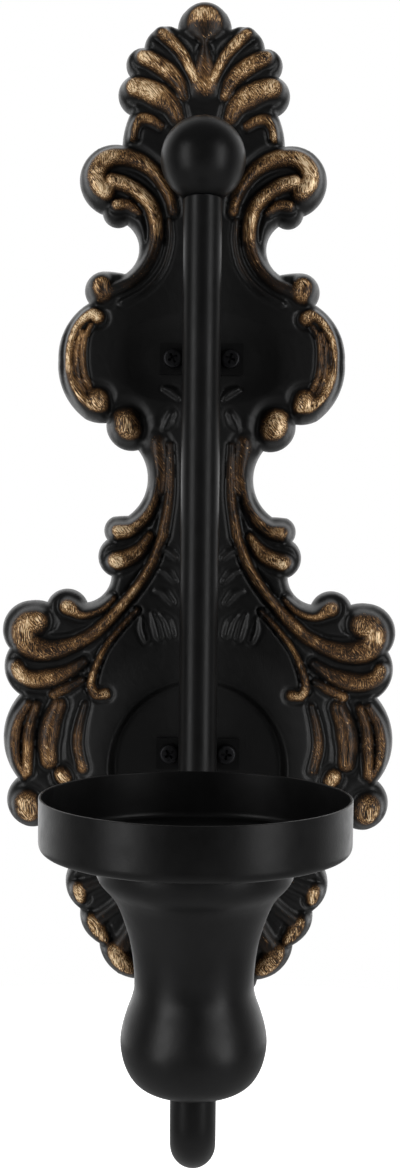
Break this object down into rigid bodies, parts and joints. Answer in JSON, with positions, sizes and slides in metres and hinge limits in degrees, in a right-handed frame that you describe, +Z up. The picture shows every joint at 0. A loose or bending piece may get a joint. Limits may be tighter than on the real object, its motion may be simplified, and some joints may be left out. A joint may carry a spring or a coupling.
{
  "type": "wall sconce candle holder",
  "caption": "Wall sconce candle holder: ornate stamped backplate, bent tube arm on two brackets, ball finial, and a flared cup carrying a round dish for a pillar candle.",
  "frame": {"origin": "on the wall plane, at the middle of the hanger strap's back face, just above its keyhole", "axes": "+X to the right seen from the front, +Y into the wall, +Z up; the candle dish stands towards -Y"},
  "size_m": [0.1396, 0.156, 0.3688],
  "materials": {
    "antique_gilt": "black paint dry-brushed with antique gold on the raised work",
    "black_paint": "satin black paint",
    "blackened_steel": "blackened steel",
    "zinc_plate": "zinc-plated steel"
  },
  "bodies": {
    "stand": {"backplate": "antique_gilt", "hanger_strap": "zinc_plate", "stem_tube": "black_paint", "finial_bush": "blackened_steel", "leg_bush": "blackened_steel", "cup_bolt": "blackened_steel", "dish_washer": "blackened_steel", "upper_bracket": "black_paint", "upper_left_screw": "blackened_steel", "upper_left_nut": "zinc_plate", "upper_right_screw": "blackened_steel", "upper_right_nut": "zinc_plate", "lower_bracket": "black_paint", "lower_left_screw": "blackened_steel", "lower_left_nut": "zinc_plate", "lower_right_screw": "blackened_steel", "lower_right_nut": "zinc_plate"},
    "finial": {"finial_ball": "black_paint", "finial_stud": "zinc_plate"},
    "cup": {"cup_vase": "black_paint", "candle_dish": "black_paint"}
  },
  "joints": [
    {"name": "finial_turn", "type": "hinge", "parent": "stand", "child": "finial", "pos_m": [0, -0.028, 0.0241], "axis": [0, 0, 1], "range_deg": [0, 360]},
    {"name": "cup_turn", "type": "hinge", "parent": "stand", "child": "cup", "pos_m": [0, -0.112, -0.2444], "axis": [0, 0, 1], "continuous": true}
  ]
}
